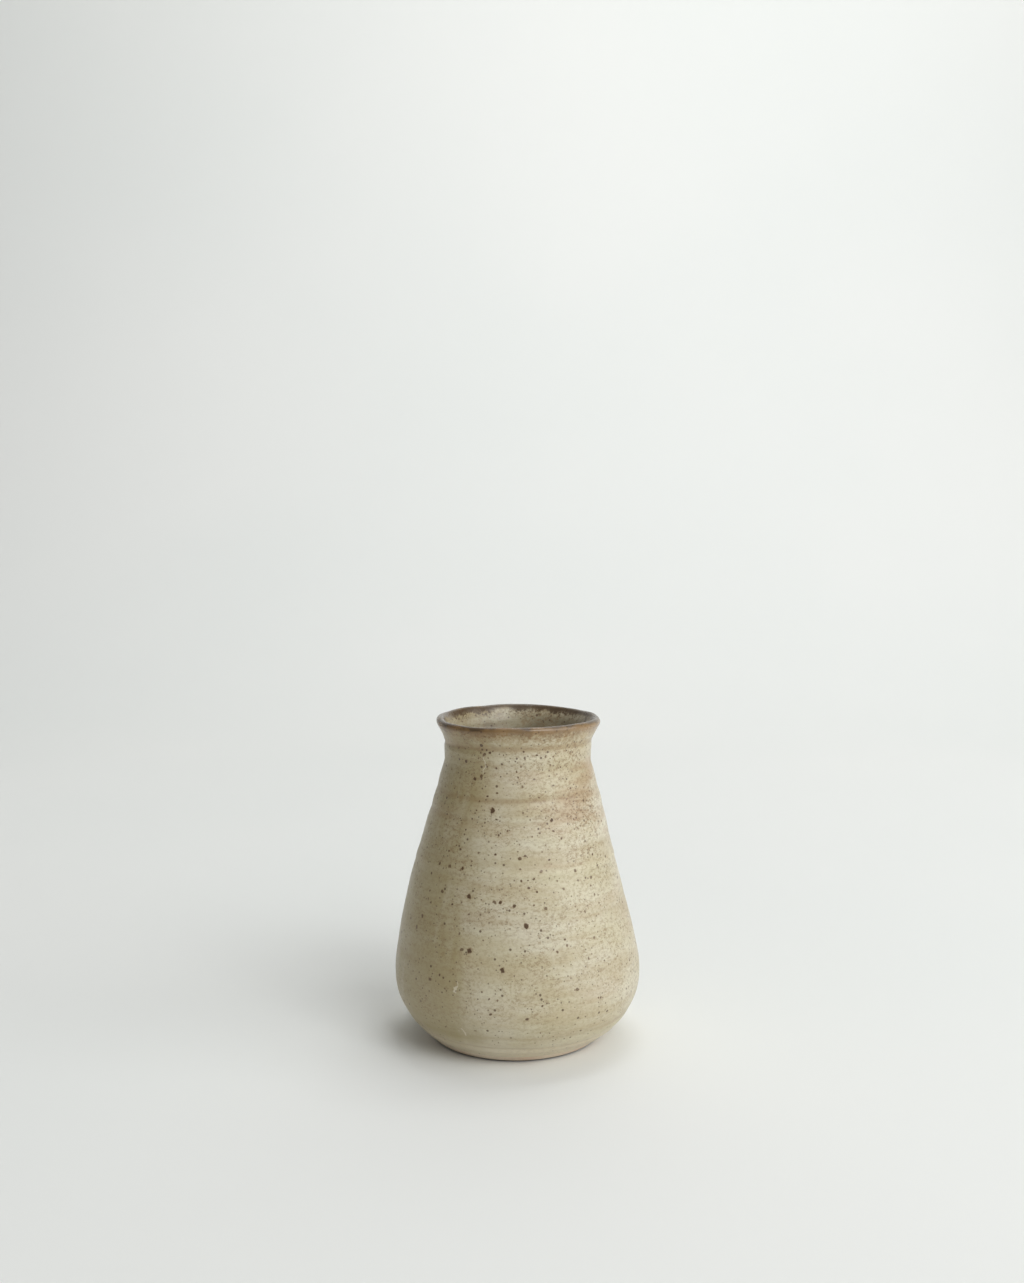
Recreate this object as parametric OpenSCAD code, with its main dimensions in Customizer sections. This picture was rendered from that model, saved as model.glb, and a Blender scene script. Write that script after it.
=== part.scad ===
// Hand-thrown stoneware bud vase.
// A potter throws the clay body in one piece, so nothing on it moves or unscrews. What can be told
// apart is the material: the bare clay, the three glaze coats that lie on it, and the iron spots
// that have melted through the outer coat. Each is a solid of its own, and they meet face to face.
// Millimetres, +Z up, origin on the table at the centre of the foot. -Y is the front.

/* [Overall] */
// Height from the table to the crest of the lip
height = 120; // [100:1:160]

/* [Foot] */
// Diameter of the foot, just above its chamfer
foot_d = 62.5; // [50:0.5:76]
// Width of the foot ring, chamfer included
foot_ring_w = 6; // [3:0.5:10]
// Small chamfer that lifts the outer edge of the foot off the table
foot_chamfer = 0.6; // [0.3:0.1:1.2]
// Height of the top of the bare, trimmed bevel, where the glaze begins
bevel_h = 3; // [2:0.5:6]
// How far the bevel leans out, from the edge of the foot to the glaze
bevel_lean = 2.8; // [1.5:0.1:5]
// Depth of the shallow hollow turned out of the underside
hollow_h = 1.8; // [1:0.1:3]

/* [Belly] */
// Widest diameter of the vase
belly_d = 92; // [76:1:120]
// Height of the widest place above the table
belly_z = 25; // [20:0.5:40]

/* [Neck and lip] */
// Narrowest diameter of the neck
neck_d = 54.2; // [44:0.2:66]
// How far the narrowest place lies below the crest of the lip
neck_drop = 15.5; // [12:0.5:24]
// How far the lip stands out past the neck, all round
lip_overhang = 3.3; // [1:0.1:10]
// Thickness of the rounded lip
lip_t = 3; // [2.4:0.1:5]
// Angle above the horizontal at which the flare runs into the lip
flare_angle = 60; // [40:1:75]

/* [Wall] */
// Thickness of the wall at the belly, both coats included
wall_t = 4.4; // [3.4:0.1:6]
// Height of the inside floor above the table, liner included
floor_z = 7.5; // [6:0.5:12]
// Radius of the flat middle of the inside floor
floor_r = 12; // [6:1:20]

/* [Glaze] */
// Thickness of every glaze coat
glaze_t = 0.6; // [0.3:0.1:1]
// How far the brown lip band reaches down the outside, below the crest
band_out = 4.5; // [2.5:0.5:8]
// How far it reaches down the inside, below the crest
band_in = 4; // [2.5:0.5:8]

/* [Iron spots] */
// Diameter of the few biggest iron spots
big_spot_d = 2; // [1.6:0.1:2.6]
// Diameter of the rest
spot_d = 1.4; // [0.8:0.1:1.8]

/* [Hidden] */
$fn = 96;

foot_r = foot_d / 2;
ring_r = foot_r - foot_ring_w;
bevel_r = foot_r + bevel_lean;
belly_r = belly_d / 2;
neck_r = neck_d / 2;
rim_r = neck_r + lip_overhang;
neck_z = height - neck_drop;

// Where each curve's two handles lie, as shares of the rise or the run that the curve covers.
heel_handles = [0.4, 0.9];
flank_handles = [0.2, 0.97];
flare_handles = [0.6, 0.6];
inside_heel_handles = [0.7, 0.35];

// How many straight steps each curve is drawn in.
heel_steps = 10;
flank_steps = 24;
flare_steps = 10;
lip_steps = 8;

// Iron spots, as [degrees round from the front, how far up the outer coat in percent].
big_spots = [
    [4, 44], [-7, 31], [-23, 36], [-26, 52], [-17, 78],
    [118, 36], [163, 69], [214, 48], [251, 27]
];
spots = [
    [-28, 98], [-26, 95], [-43, 92], [-33, 87], [-28, 88], [-49, 60], [-41, 60], [-32, 60],
    [1, 64], [13, 60], [34, 59], [45, 56], [-43, 52], [-9, 51], [-12, 51], [-2, 50],
    [14, 49], [-55, 43], [-58, 39], [-27, 36], [-43, 25], [4, 16], [27, 24], [22, 75],
    [76, 52], [103, 76], [131, 21], [148, 53], [156, 51], [187, 28], [199, 81],
    [226, 67], [232, 64], [243, 44], [262, 84], [284, 34]
];

// ---- Curves ----

function mix(a, b, share) = a + (b - a) * share;

function bezier(a, b, c, d, steps) =
    [for (i = [0:steps])
        let (t = i / steps, s = 1 - t)
            s * s * s * a + 3 * s * s * t * b + 3 * s * t * t * c + t * t * t * d];

function tail(list) = [for (i = [1:len(list) - 1]) list[i]];

function reversed(list) = [for (i = [len(list) - 1:-1:0]) list[i]];

function unit(v) = v / norm(v);

// The direction a quarter turn to the left of the line's travel at point i, which points into the clay.
function left_of(line, i) =
    let (u = unit(line[min(i + 1, len(line) - 1)] - line[max(i - 1, 0)]))
        [-u.y, u.x];

// The same line with one more point, where it crosses the height z.
function with_point_at(line, z) = concat(
    [for (p = line) if (p.y < z) p],
    [[lookup(z, [for (p = line) [p.y, p.x]]), z]],
    [for (p = line) if (p.y > z) p]);

// ---- The visible surface, as one line from the bevel up, over the lip and down to the floor ----

heel = bezier(
    [bevel_r, bevel_h],
    [belly_r, mix(bevel_h, belly_z, heel_handles[0])],
    [belly_r, mix(bevel_h, belly_z, heel_handles[1])],
    [belly_r, belly_z],
    heel_steps);

flank = bezier(
    [belly_r, belly_z],
    [belly_r, mix(belly_z, neck_z, flank_handles[0])],
    [neck_r, mix(belly_z, neck_z, flank_handles[1])],
    [neck_r, neck_z],
    flank_steps);

lip_centre = [rim_r - lip_t / 2, height - lip_t / 2];
lip_start = lip_centre + lip_t / 2 * [sin(flare_angle), -cos(flare_angle)];
flare_reach = (1 - flare_handles[1]) * norm(lip_start - [neck_r, neck_z]);

flare = bezier(
    [neck_r, neck_z],
    [neck_r, mix(neck_z, height, flare_handles[0])],
    lip_start - flare_reach * [cos(flare_angle), sin(flare_angle)],
    lip_start,
    flare_steps);

above_belly = concat(flank, tail(flare));
outside = with_point_at(concat(heel, tail(above_belly)), height - band_out);

lip = [for (i = [1:lip_steps])
    let (a = flare_angle - 90 + 180 * i / lip_steps)
        lip_centre + lip_t / 2 * [cos(a), sin(a)]];

// The wall thins from wall_t at the belly to lip_t at the lip.
function wall_at(z) = mix(wall_t, lip_t, (z - belly_z) / (lip_start.y - belly_z));
inside_wall = [for (i = [1:len(above_belly) - 2])
    above_belly[i] + wall_at(above_belly[i].y) * left_of(above_belly, i)];
inside = reversed(with_point_at(inside_wall, height - band_in));

inside_belly = [belly_r - wall_t, belly_z];
inside_heel = bezier(
    inside_belly,
    [inside_belly.x, mix(belly_z, floor_z, inside_heel_handles[0])],
    [mix(inside_belly.x, floor_r, inside_heel_handles[1]), floor_z],
    [floor_r, floor_z],
    heel_steps);

surface = concat(outside, lip, inside, inside_heel, [[0, floor_z]]);

// The clay under the glaze, point for point.
under_glaze = [for (i = [0:len(surface) - 1]) surface[i] + glaze_t * left_of(surface, i)];

// Where the brown lip band begins outside and ends inside, as places in that line.
band_from = len([for (p = outside) if (p.y < height - band_out) p]);
band_to = len(outside) + len(lip) + len([for (p = inside) if (p.y > height - band_in) p]);

// ---- Solids ----

module clay_body() {
    color("#8d7458")
        rotate_extrude()
            polygon(concat(
                [
                    [0, hollow_h],
                    [ring_r - hollow_h, hollow_h],
                    [ring_r, 0],
                    [foot_r - foot_chamfer, 0],
                    [foot_r, foot_chamfer],
                    [bevel_r, bevel_h]
                ],
                under_glaze));
}

// One stretch of the glaze, between two places in the line.
module glaze_coat(from, to) {
    rotate_extrude()
        polygon(concat(
            [for (i = [from:to]) surface[i]],
            [for (i = [to:-1:from]) under_glaze[i]]));
}

function radius_at(z) = lookup(z, [for (p = outside) [p.y, p.x]]);

// Pegs that run straight out through the outer coat, one at each place.
module pegs(places, d) {
    reach = 2 * glaze_t + d;
    for (place = places) {
        z = mix(bevel_h, height - band_out, place[1] / 100);
        rotate([0, 0, place[0]])
            translate([0, reach - radius_at(z), z])
                rotate([90, 0, 0])
                    cylinder(d = d, h = 2 * reach);
    }
}

module all_pegs() {
    pegs(big_spots, big_spot_d);
    pegs(spots, spot_d);
}

module outer_glaze() {
    color("#c9bd9c")
        difference() {
            glaze_coat(0, band_from);
            all_pegs();
        }
}

module iron_spots() {
    color("#4a3119")
        intersection() {
            glaze_coat(0, band_from);
            all_pegs();
        }
}

module rim_glaze() {
    color("#7a5433") glaze_coat(band_from, band_to);
}

module liner_glaze() {
    color("#bdb08d") glaze_coat(band_to, len(surface) - 1);
}

clay_body();
outer_glaze();
rim_glaze();
liner_glaze();
iron_spots();
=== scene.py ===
# %% [markdown]
# # A hand-thrown bud vase
# The vase is one fired piece of stoneware: a low round belly, sides that lean in to a short neck,
# a flared lip and a bare foot. The CAD model holds its true sizes as five exactly round solids: the
# clay, three glaze coats and the iron spots. Here each of them gets the small errors of a hand, and a
# glaze that looks melted, and the result keeps to the CAD box within half a millimetre.

# %% The frame
import math
import random

import bpy
import numpy as np
from mathutils import Matrix, Vector, kdtree, noise


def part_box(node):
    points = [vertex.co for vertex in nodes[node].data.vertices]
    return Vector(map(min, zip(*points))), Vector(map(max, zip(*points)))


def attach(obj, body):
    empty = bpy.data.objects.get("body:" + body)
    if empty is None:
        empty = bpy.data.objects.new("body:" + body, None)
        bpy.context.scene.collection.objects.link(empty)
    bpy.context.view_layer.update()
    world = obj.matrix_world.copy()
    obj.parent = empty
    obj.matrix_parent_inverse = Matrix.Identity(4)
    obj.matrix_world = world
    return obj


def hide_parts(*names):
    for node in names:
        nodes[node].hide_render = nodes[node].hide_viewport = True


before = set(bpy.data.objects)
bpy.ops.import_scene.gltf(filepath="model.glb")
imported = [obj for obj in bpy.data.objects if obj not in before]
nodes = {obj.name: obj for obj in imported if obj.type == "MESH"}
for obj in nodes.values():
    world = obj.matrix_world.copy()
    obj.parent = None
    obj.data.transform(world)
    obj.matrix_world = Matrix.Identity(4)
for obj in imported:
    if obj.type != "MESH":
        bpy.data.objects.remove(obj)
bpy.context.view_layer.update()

MM = 0.001

# %% [markdown]
# ## The camera
# The vase is seen from a little above and from half a metre away, so that its mouth is a narrow
# ellipse. The camera is placed first, because every later step is looked at through it. It
# stands a hair to the left of the vase's axis, which puts the vase just right of the middle.

# %% The camera
CAMERA_BACK = 520.5 * MM
CAMERA_UP = 199.4 * MM
CAMERA_LEFT = 2.1 * MM
CAMERA_TILT = math.radians(5.68)
LENS = 39.86

camera = bpy.data.objects.new("camera", bpy.data.cameras.new("camera"))
bpy.context.scene.collection.objects.link(camera)
camera.location = (-CAMERA_LEFT, -CAMERA_BACK, CAMERA_UP)
camera.rotation_euler = (math.pi / 2 - CAMERA_TILT, 0, 0)
camera.data.lens = LENS
bpy.context.scene.camera = camera
print("camera at, mm:", [round(x / MM, 1) for x in camera.location])

# %% [markdown]
# ## Hands
# These few helpers stand for what a hand does in Blender: put everything down, take up one piece, pick
# some of its points or faces, and read where the points are. A point can also be given a number to
# remember, such as its distance from the lip, which the modifiers carry along and the finishes read.

# %% Hands
# an edge that turns by more than this stays crisp when its piece is shaded smooth
SHARP = math.radians(40)


def put_down():
    """Leaves edit mode and deselects everything."""
    if bpy.context.object and bpy.context.object.mode != "OBJECT":
        bpy.ops.object.mode_set(mode="OBJECT")
    bpy.ops.object.select_all(action="DESELECT")


def take_up(*pieces):
    """Selects these pieces only. The last one is the active one."""
    put_down()
    for piece in pieces:
        piece.select_set(True)
    bpy.context.view_layer.objects.active = pieces[-1]


def points_of(piece):
    """Where the points of a piece are, one row each, in metres."""
    flat = np.empty(len(piece.data.vertices) * 3)
    piece.data.vertices.foreach_get("co", flat)
    return flat.reshape(-1, 3)


def face_centres_of(piece):
    flat = np.empty(len(piece.data.polygons) * 3)
    piece.data.polygons.foreach_get("center", flat)
    return flat.reshape(-1, 3)


def pick(piece, points=None, faces=None):
    """Selects the points, or the faces, that a list of true and false marks, and enters edit mode."""
    take_up(piece)
    mesh = piece.data
    for parts in (mesh.vertices, mesh.edges, mesh.polygons):
        parts.foreach_set("select", np.zeros(len(parts), bool))
    if points is not None:
        mesh.vertices.foreach_set("select", points)
    if faces is not None:
        mesh.polygons.foreach_set("select", faces)
    bpy.ops.object.mode_set(mode="EDIT")
    bpy.ops.mesh.select_mode(type="VERT" if faces is None else "FACE")


def finish_modifier(piece, kind, **settings):
    """Adds a modifier, sets it and applies it."""
    take_up(piece)
    bpy.ops.object.modifier_add(type=kind)
    modifier = piece.modifiers[-1]
    for setting, value in settings.items():
        setattr(modifier, setting, value)
    bpy.ops.object.modifier_apply(modifier=modifier.name)


def copy_of(piece, name):
    take_up(piece)
    bpy.ops.object.duplicate()
    copy = bpy.context.object
    copy.name = copy.data.name = name
    return copy


def remember(piece, name, values):
    """Gives each point of a piece a number, under this name."""
    numbers = piece.data.attributes.new(name, "FLOAT", "POINT")
    numbers.data.foreach_set("value", np.asarray(values, np.float32))


def value_of(piece, name):
    flat = np.empty(len(piece.data.vertices))
    piece.data.attributes[name].data.foreach_get("value", flat)
    return flat


def zones_of(piece):
    """The material slot of each face, which says what the face is made of."""
    zones = np.empty(len(piece.data.polygons), np.int32)
    piece.data.polygons.foreach_get("material_index", zones)
    return zones


# %% [markdown]
# ## The outline, read from the CAD
# Every CAD solid here was turned about the upright axis, so its points lie on rings. A ring that
# belongs to a coat and not to the clay lies on the visible side of the glaze. Sorted from the foot, up
# over the lip and down to the floor inside, those rings are the outline that the potter's rib followed.

# %% The outline
FULL_RING = 20
NEAR = 0.02 * MM
STRAIGHT = 0.004 * MM

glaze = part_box("outer_glaze")[1].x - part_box("clay_body")[1].x


def rings_of(name):
    """The (radius, height) of each full ring of points on a CAD solid. Rings that almost touch are one."""
    at = points_of(nodes[name])
    pairs, counts = np.unique(
        np.column_stack((np.hypot(at[:, 0], at[:, 1]), at[:, 2])).round(6), axis=0, return_counts=True)
    rings = []
    for pair in pairs[counts >= FULL_RING].tolist():
        if all(math.dist(pair, ring) > NEAR for ring in rings):
            rings.append(tuple(pair))
    return rings


def off_the_clay(ring):
    """How far a ring stands off the clay."""
    place = Vector((ring[0], 0, ring[1]))
    return (nodes["clay_body"].closest_point_on_mesh(place)[1] - place).length


def seen(rings):
    return [ring for ring in rings if off_the_clay(ring) > glaze / 2]


def corners_of(line):
    """Drops the points that only lie along a straight stretch between their neighbours."""
    kept = [line[0]]
    for point, after in zip(line[1:], line[2:]):
        run, rise = after[0] - kept[-1][0], after[1] - kept[-1][1]
        off = abs(run * (point[1] - kept[-1][1]) - rise * (point[0] - kept[-1][0])) / math.hypot(run, rise)
        if off > STRAIGHT:
            kept.append(point)
    return kept + [line[-1]]


outer_rings = rings_of("outer_glaze")
bevel_top = min((ring for ring in outer_rings if off_the_clay(ring) < NEAR), key=lambda ring: ring[1])
foot_line = corners_of(sorted(
    ring for ring in rings_of("clay_body")
    if ring[1] <= bevel_top[1] + NEAR and ring[0] <= bevel_top[0] + NEAR))
outer_line = corners_of([bevel_top] + sorted(seen(outer_rings), key=lambda ring: ring[1]))
lip_side = sorted(seen(rings_of("rim_glaze")))
lip_middle = (np.mean([ring[0] for ring in lip_side]), min(ring[1] for ring in lip_side))
lip_line = sorted(lip_side, key=lambda ring: math.atan2(ring[1] - lip_middle[1], ring[0] - lip_middle[0]))
liner_line = corners_of(sorted(seen(rings_of("liner_glaze")), key=lambda ring: (-ring[1], -ring[0])))

top = max(ring[1] for ring in lip_line)
print("outline points: foot", len(foot_line), "outside", len(outer_line), "lip", len(lip_line),
      "inside", len(liner_line))
print("foot, mm:", [(round(r / MM, 2), round(z / MM, 2)) for r, z in foot_line])
print("glaze coat, mm:", round(glaze / MM, 2))

# %% [markdown]
# ## Drawing and spinning the pot
# A wheel makes a pot by turning one outline about one axis, and so does Blender's Spin. The outline is
# drawn with Extrude, point by point, in the plane through the axis. The corners of the trimmed foot are
# first split in two, close together, so that the later smoothing leaves them crisp. The whole visible
# surface is one closed skin for now, so that every later touch of the hand moves clay and glaze together.

# %% The outline, spun
FOOT_SOFTNESS = 0.35 * MM
TURN_STEPS = 46
LONGEST, LONGEST_AT_ENDS = 4.2 * MM, 1.8 * MM
FOOT_END, LIP_END = 12 * MM, 100 * MM
CLAY, OUTER, LIP, LINER = range(4)


def softened(line, softness):
    """The line with each inner corner split into two points, a little way off on either side."""
    soft = [line[0]]
    for before, corner, after in zip(line, line[1:], line[2:]):
        for neighbour in (before, after):
            share = min(softness / math.dist(corner, neighbour), 0.4)
            soft.append(tuple(c + (n - c) * share for c, n in zip(corner, neighbour)))
    return soft + [line[-1]]


def filled(line, ends):
    """The line with points added where two are too far apart to hold a finger mark, closer at both ends."""
    full = [line[0]]
    for here, there in zip(line, line[1:]):
        close = ends and (there[1] < FOOT_END or here[1] > LIP_END)
        pieces = math.ceil(math.dist(here, there) / (LONGEST_AT_ENDS if close else LONGEST))
        full += [tuple(h + (t - h) * i / pieces for h, t in zip(here, there)) for i in range(1, pieces + 1)]
    return full


foot_hollow = foot_line[0][1]
foot_line = softened([(0, foot_hollow)] + foot_line, FOOT_SOFTNESS)
stretches = [(CLAY, foot_line), (OUTER, filled(outer_line, ends=True)), (LIP, lip_line),
             (LINER, filled(liner_line, ends=False) + [(0, liner_line[-1][1])])]
outline, zone_of_stretch = [], []
for zone, line in stretches:
    for ring in line:
        if not outline or math.dist(outline[-1], ring) > NEAR:
            outline.append(ring)
            zone_of_stretch.append(zone)

put_down()
bpy.ops.mesh.primitive_plane_add(size=MM, location=(0, 0, 0))
pot = bpy.context.object
pot.name = "pot"
bpy.ops.object.mode_set(mode="EDIT")
bpy.ops.mesh.merge(type="CENTER")
bpy.ops.transform.translate(value=(outline[0][0], 0, outline[0][1]))
for here, there in zip(outline, outline[1:]):
    bpy.ops.mesh.extrude_vertices_move(
        TRANSFORM_OT_translate={"value": (there[0] - here[0], 0, there[1] - here[1])})
bpy.ops.mesh.select_all(action="SELECT")
bpy.ops.mesh.spin(steps=TURN_STEPS, angle=2 * math.pi, center=(0, 0, 0), axis=(0, 0, 1))
bpy.ops.mesh.select_all(action="SELECT")
bpy.ops.mesh.remove_doubles(threshold=NEAR)
bpy.ops.mesh.normals_make_consistent(inside=False)
bpy.ops.object.mode_set(mode="OBJECT")
print("pot:", len(pot.data.vertices), "points,", len(pot.data.polygons), "faces")

# %% [markdown]
# ## Which face is clay and which is glaze
# Each face of the skin belongs to the stretch of outline it was spun from. That is written down now,
# while the pot is still exactly round, as the face's material slot. Each point also remembers how far
# from the crest of the lip it is, counted down the outside as plus and down the inside as minus: glaze
# runs and thins by that distance, so the colours are going to need it.

# %% Zones and the distance from the lip
for name in ("bare clay", "outside glaze", "lip glaze", "liner glaze"):
    pot.data.materials.append(bpy.data.materials.new(name))

centres = face_centres_of(pot)
middles = np.array([[(a[0] + b[0]) / 2, (a[1] + b[1]) / 2] for a, b in zip(outline, outline[1:])])
face_rings = np.column_stack((np.hypot(centres[:, 0], centres[:, 1]), centres[:, 2]))
nearest = ((face_rings[:, None, :] - middles[None, :, :]) ** 2).sum(2).argmin(1)
pot.data.polygons.foreach_set("material_index", np.array(zone_of_stretch[1:])[nearest])

crest_at = max(range(len(outline)), key=lambda i: outline[i][1])
crest_r = outline[crest_at][0]
at = points_of(pot)
outline_at = np.array(outline)
point_rings = np.column_stack((np.hypot(at[:, 0], at[:, 1]), at[:, 2]))
ring_of_point = ((point_rings[:, None, :] - outline_at[None, :, :]) ** 2).sum(2).argmin(1)
from_lip = np.where(ring_of_point <= crest_at, 1, -1) * (top - at[:, 2]) / MM
remember(pot, "from_lip", from_lip)
print("faces in each zone:", np.bincount(np.array(zone_of_stretch[1:])[nearest]))

# %% [markdown]
# ## The hand in the shape
# No thrown pot is round. This one leans a little at mid height, stands a little to one side of its
# lip, and its lip rises and dips by a quarter of a millimetre here and a half there, as a lip does that
# was wiped with a wet finger. A hand would push the soft clay, and the move for that is a grab with
# proportional editing: the points that are held move, and everything within reach follows softly. It is
# done on the coarse skin, before smoothing, so that each push stays one soft push.

# %% Grabs
def grab(piece, held, move, reach):
    """Moves the held points and, ever less, all that is within reach of them."""
    pick(piece, points=held)
    bpy.ops.transform.translate(
        value=move, use_proportional_edit=True, proportional_edit_falloff="SMOOTH",
        proportional_size=reach, use_proportional_connected=False)
    bpy.ops.object.mode_set(mode="OBJECT")


def way_round(azimuth):
    """The direction straight out from the axis, this many degrees round from the front."""
    return Vector((math.sin(math.radians(azimuth)), -math.cos(math.radians(azimuth)), 0))


OUTER_SKIN = 30 * MM
# (held height, how far left it is pushed, how far the push reaches), in millimetres
LEANS = [(60, 1.0, 38), (0, 0.9, 16)]
for height, left, reach in LEANS:
    at = points_of(pot)
    row = at[:, 2][np.abs(at[:, 2] - height * MM).argmin()]
    held = (np.abs(at[:, 2] - row) < NEAR) & (np.hypot(at[:, 0], at[:, 1]) > OUTER_SKIN)
    grab(pot, held, (-left * MM, 0, 0), reach * MM)

FINGERTIP = 1.5 * MM
# the lip, all the way round from the front in even steps: how far it is lifted, in millimetres
LIP_LIFTS = [0.15, 0.15, 0.25, 0.0, -0.45, 0.05, -0.15, 0.05, 0.3, 0.25, 0.3, -0.1, 0.25, -0.35, -0.25, -0.15]
# single marks: (degrees round, lift, push out, reach), in millimetres
LIP_MARKS = [(108, 0.15, 0.1, 5), (124, -0.25, -0.1, 6), (-12, 0.15, 0.05, 5), (-33, -0.15, 0.1, 6),
             (-150, -0.25, 0, 5), (90, 0, 0.3, 14), (-90, 0, -0.25, 14), (30, 0, -0.15, 9)]
lip_step = 360 / len(LIP_LIFTS)
lip_reach = crest_r * math.radians(lip_step)
lip_grabs = [(i * lip_step, lift * MM, 0, lip_reach) for i, lift in enumerate(LIP_LIFTS)]
lip_grabs += [(azimuth, lift * MM, out * MM, reach * MM) for azimuth, lift, out, reach in LIP_MARKS]
for azimuth, lift, out, reach in lip_grabs:
    at = points_of(pot)
    crest = way_round(azimuth) * crest_r + Vector((0, 0, top))
    away = np.linalg.norm(at - np.array(crest), axis=1)
    held = away < max(FINGERTIP, away.min() + NEAR)
    grab(pot, held, way_round(azimuth) * out + Vector((0, 0, lift)), reach)
print("lip height after the grabs, mm:", round(points_of(pot)[:, 2].max() / MM, 2))

# %% [markdown]
# ## Smoothing, and the marks of the fingers
# Two steps of subdivision turn the coarse skin into a smooth one with a face for every millimetre. The
# fingers then leave their rings: shallow grooves and low ridges that climb a little as they go round,
# because the hand rises while the wheel turns. They are moved in along the surface's own normals. Some
# slow unevenness goes in with them, the floor inside gets the spiral where the finger opened the clay,
# and the underside gets the fine lines of the trimming tool. How far each point was moved is kept as
# "proud", because glaze pools in a groove and thins on a ridge.

# %% Smoothing and finger marks
finish_modifier(pot, "SUBSURF", levels=2, render_levels=2)

# (height, half width, how far it stands out), in millimetres; a groove stands in
OUTSIDE_MARKS = [
    (114.2, 1.2, 0.12), (111.4, 0.9, -0.30), (108.6, 1.5, 0.12), (103.4, 1.2, -0.12), (98.5, 2.2, 0.12),
    (94.3, 1.3, -0.20), (90.2, 1.8, 0.12), (86.6, 1.2, -0.18), (81.5, 2.2, 0.10), (76.2, 1.4, -0.14),
    (72.6, 1.4, -0.10), (69.4, 1.4, 0.16), (66.6, 1.1, -0.14), (59.5, 2.4, 0.08), (53.2, 1.5, -0.10),
    (44.5, 2.4, 0.08), (36.4, 1.6, -0.08), (29.8, 2.2, 0.08), (24.3, 1.4, -0.10), (17.8, 1.8, 0.08),
    (12.6, 1.2, -0.12), (9.4, 1.0, 0.12), (7.6, 0.6, -0.20), (6.0, 0.8, 0.12), (4.4, 0.5, -0.18),
    (3.4, 0.5, 0.16)]
INSIDE_MARKS = [
    (113.2, 1.4, -0.20), (109.0, 1.6, 0.15), (104.5, 1.5, -0.18), (98.5, 2.0, 0.15), (91.0, 2.0, -0.2),
    (82.0, 2.4, 0.2), (72.0, 2.4, -0.2), (61.0, 2.6, 0.2), (50.0, 2.6, -0.2), (38.0, 2.6, 0.2),
    (27.0, 2.4, -0.2)]
# how far a ring climbs in one turn, and how far it wavers on the way
CLIMB, WAVER = 0.9, 0.25
# the inside rings end here above the floor, and the spiral lies below
WALL_FROM, FLOOR_TO, FADE_OVER = 12, 16, 10
SPIRAL_STEP, SPIRAL_DEPTH, SPIRAL_REACH = 6.5, 0.30, 34
TRIM_STEP, TRIM_DEPTH, TRIM_REACH = 1.5, 0.05, 22
# (size of a bump, its height)
SLOW_BUMPS = [(38, 0.16), (13, 0.06), (5, 0.018)]


def normals_of(piece):
    flat = np.empty(len(piece.data.vertices) * 3)
    piece.data.vertex_normals.foreach_get("vector", flat)
    return flat.reshape(-1, 3)


def rings_at(height, azimuth, marks, side):
    """How far the finger rings stand out at these heights and angles, in millimetres."""
    out = np.zeros(len(height))
    for i, (level, half_width, proud) in enumerate(marks):
        phase = 2.4 * i + side
        here = level + CLIMB * (azimuth / (2 * math.pi)) + WAVER * np.sin(2 * azimuth + phase)
        strength = 0.75 + 0.35 * np.sin(azimuth + 1.7 * phase)
        out += proud * strength * np.exp(-(((height - here) / half_width) ** 2))
    return out


from_lip = value_of(pot, "from_lip")
at = points_of(pot)
azimuth = np.arctan2(at[:, 0], -at[:, 1])
radius = np.hypot(at[:, 0], at[:, 1]) / MM
level = top / MM - np.abs(from_lip)
outside = from_lip > 0
on_foot = level < bevel_top[1] / MM + 0.1
out = np.where(outside & ~on_foot, rings_at(level, azimuth, OUTSIDE_MARKS, 0), 0)
on_wall = np.clip((level - WALL_FROM) / FADE_OVER, 0, 1)
out += np.where(~outside, rings_at(level, azimuth, INSIDE_MARKS, 2) * on_wall, 0)
spiral = SPIRAL_DEPTH * np.sin(2 * math.pi * radius / SPIRAL_STEP - azimuth)
on_floor = ~outside & (level < FLOOR_TO)
out += np.where(on_floor, spiral * np.clip((SPIRAL_REACH - radius) / FADE_OVER, 0, 1), 0)
trim = TRIM_DEPTH * np.sin(2 * math.pi * radius / TRIM_STEP)
out += np.where(on_foot & (level > 0.5 * foot_hollow / MM) & (radius < TRIM_REACH), trim, 0)
remember(pot, "proud", out)
for size, height in SLOW_BUMPS:
    slow = np.array([noise.noise(Vector(p) / (size * MM)) for p in at])
    out += np.where(on_foot & (level < 1), 0, slow * height)
at += normals_of(pot) * (out * MM)[:, None]
pot.data.vertices.foreach_set("co", at.ravel())
pot.data.update()
print("finger marks, mm: from", round(out.min(), 2), "to", round(out.max(), 2))

# %% [markdown]
# ## Peeling the skin into coats
# The skin is now the visible surface of everything. Each coat is a copy of it with the other zones
# deleted, and Solidify gives that sheet the glaze's thickness, inwards, with its edges closed. So the
# coats meet edge to edge, with no gap and no overlap, however the pot was pushed about.

# %% The three coats
def peel(zone, name):
    """One glaze coat: the skin's faces of one zone, as thick as the glaze."""
    coat = copy_of(pot, name)
    pick(coat, faces=zones_of(coat) != zone)
    bpy.ops.mesh.delete(type="FACE")
    bpy.ops.object.mode_set(mode="OBJECT")
    finish_modifier(coat, "SOLIDIFY", thickness=glaze, offset=-1, use_even_offset=True)
    bpy.ops.object.shade_smooth_by_angle(angle=SHARP)
    print(name, len(coat.data.polygons), "faces")
    return coat


outer_coat = peel(OUTER, "outer_coat")
lip_coat = peel(LIP, "lip_coat")
liner_coat = peel(LINER, "liner_coat")

# %% [markdown]
# ## The clay under the glaze
# The fired clay is the same skin, sunk by the thickness of the glaze wherever there is glaze. Extrude
# along normals does that in one move: the glazed faces go in, and a small step is left where the bare
# bevel begins, which the lower edge of the outer coat fills.

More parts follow.
